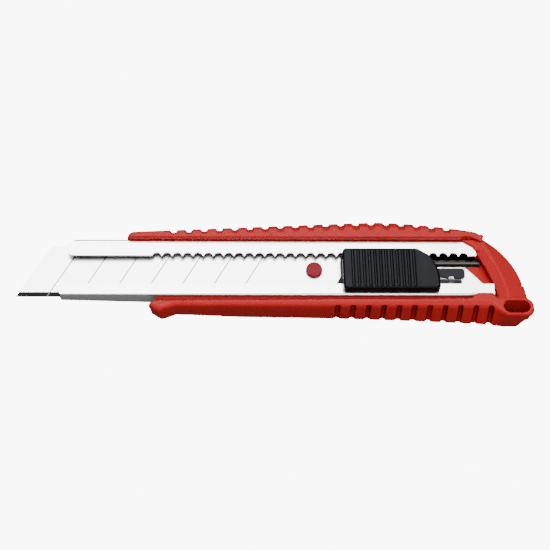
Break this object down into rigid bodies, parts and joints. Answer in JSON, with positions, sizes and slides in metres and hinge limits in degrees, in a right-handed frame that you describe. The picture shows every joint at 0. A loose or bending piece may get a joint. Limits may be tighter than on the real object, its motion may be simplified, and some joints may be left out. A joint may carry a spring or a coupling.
{
  "type": "snap-off knife",
  "caption": "Snap-off utility knife: scored blade sliding in a notched steel channel, red ribbed handle, black thumb button and removable end cap.",
  "frame": {"origin": "on the flat back face of the handle, under the channel's centre line and 60.2 mm ahead of the butt", "axes": "+X from the blade's tip to the butt, +Y from the cutting edge to the spine, +Z from the back face to the thumb button"},
  "size_m": [0.1632, 0.0345, 0.011],
  "materials": {
    "blade_steel": "ground and lightly polished",
    "channel_steel": "stainless sheet, bright rolled",
    "handle_red": "semi-gloss moulded",
    "cap_red": "semi-gloss moulded",
    "carrier_steel": "plain pressed sheet",
    "pin_red": "satin moulded",
    "block_grey": "matte moulded",
    "spring_steel": "blued spring steel",
    "button_black": "satin moulded"
  },
  "bodies": {
    "handle_body": {"handle": "handle_red", "channel": "channel_steel"},
    "slider": {"blade_carrier": "carrier_steel", "blade": "blade_steel", "blade_pin": "pin_red", "lock_spring": "spring_steel"},
    "button": {"slide_block": "block_grey", "thumb_button": "button_black"},
    "cap": {"end_cap": "cap_red"}
  },
  "joints": [
    {"name": "blade_slide", "type": "slide", "parent": "handle_body", "child": "slider", "axis": [1, 0, 0], "range_m": [-0.082, 0.0164], "deforming": ["lock_spring"]},
    {"name": "button_float", "type": "slide", "parent": "slider", "child": "button", "axis": [1, 0, 0], "range_m": [-0.0008, 0.0008], "stiffness_N_per_m": 800, "deforming": ["lock_spring"]},
    {"name": "cap_slide", "type": "slide", "parent": "handle_body", "child": "cap", "axis": [1, 0, 0], "range_m": [0, 0.014]}
  ]
}
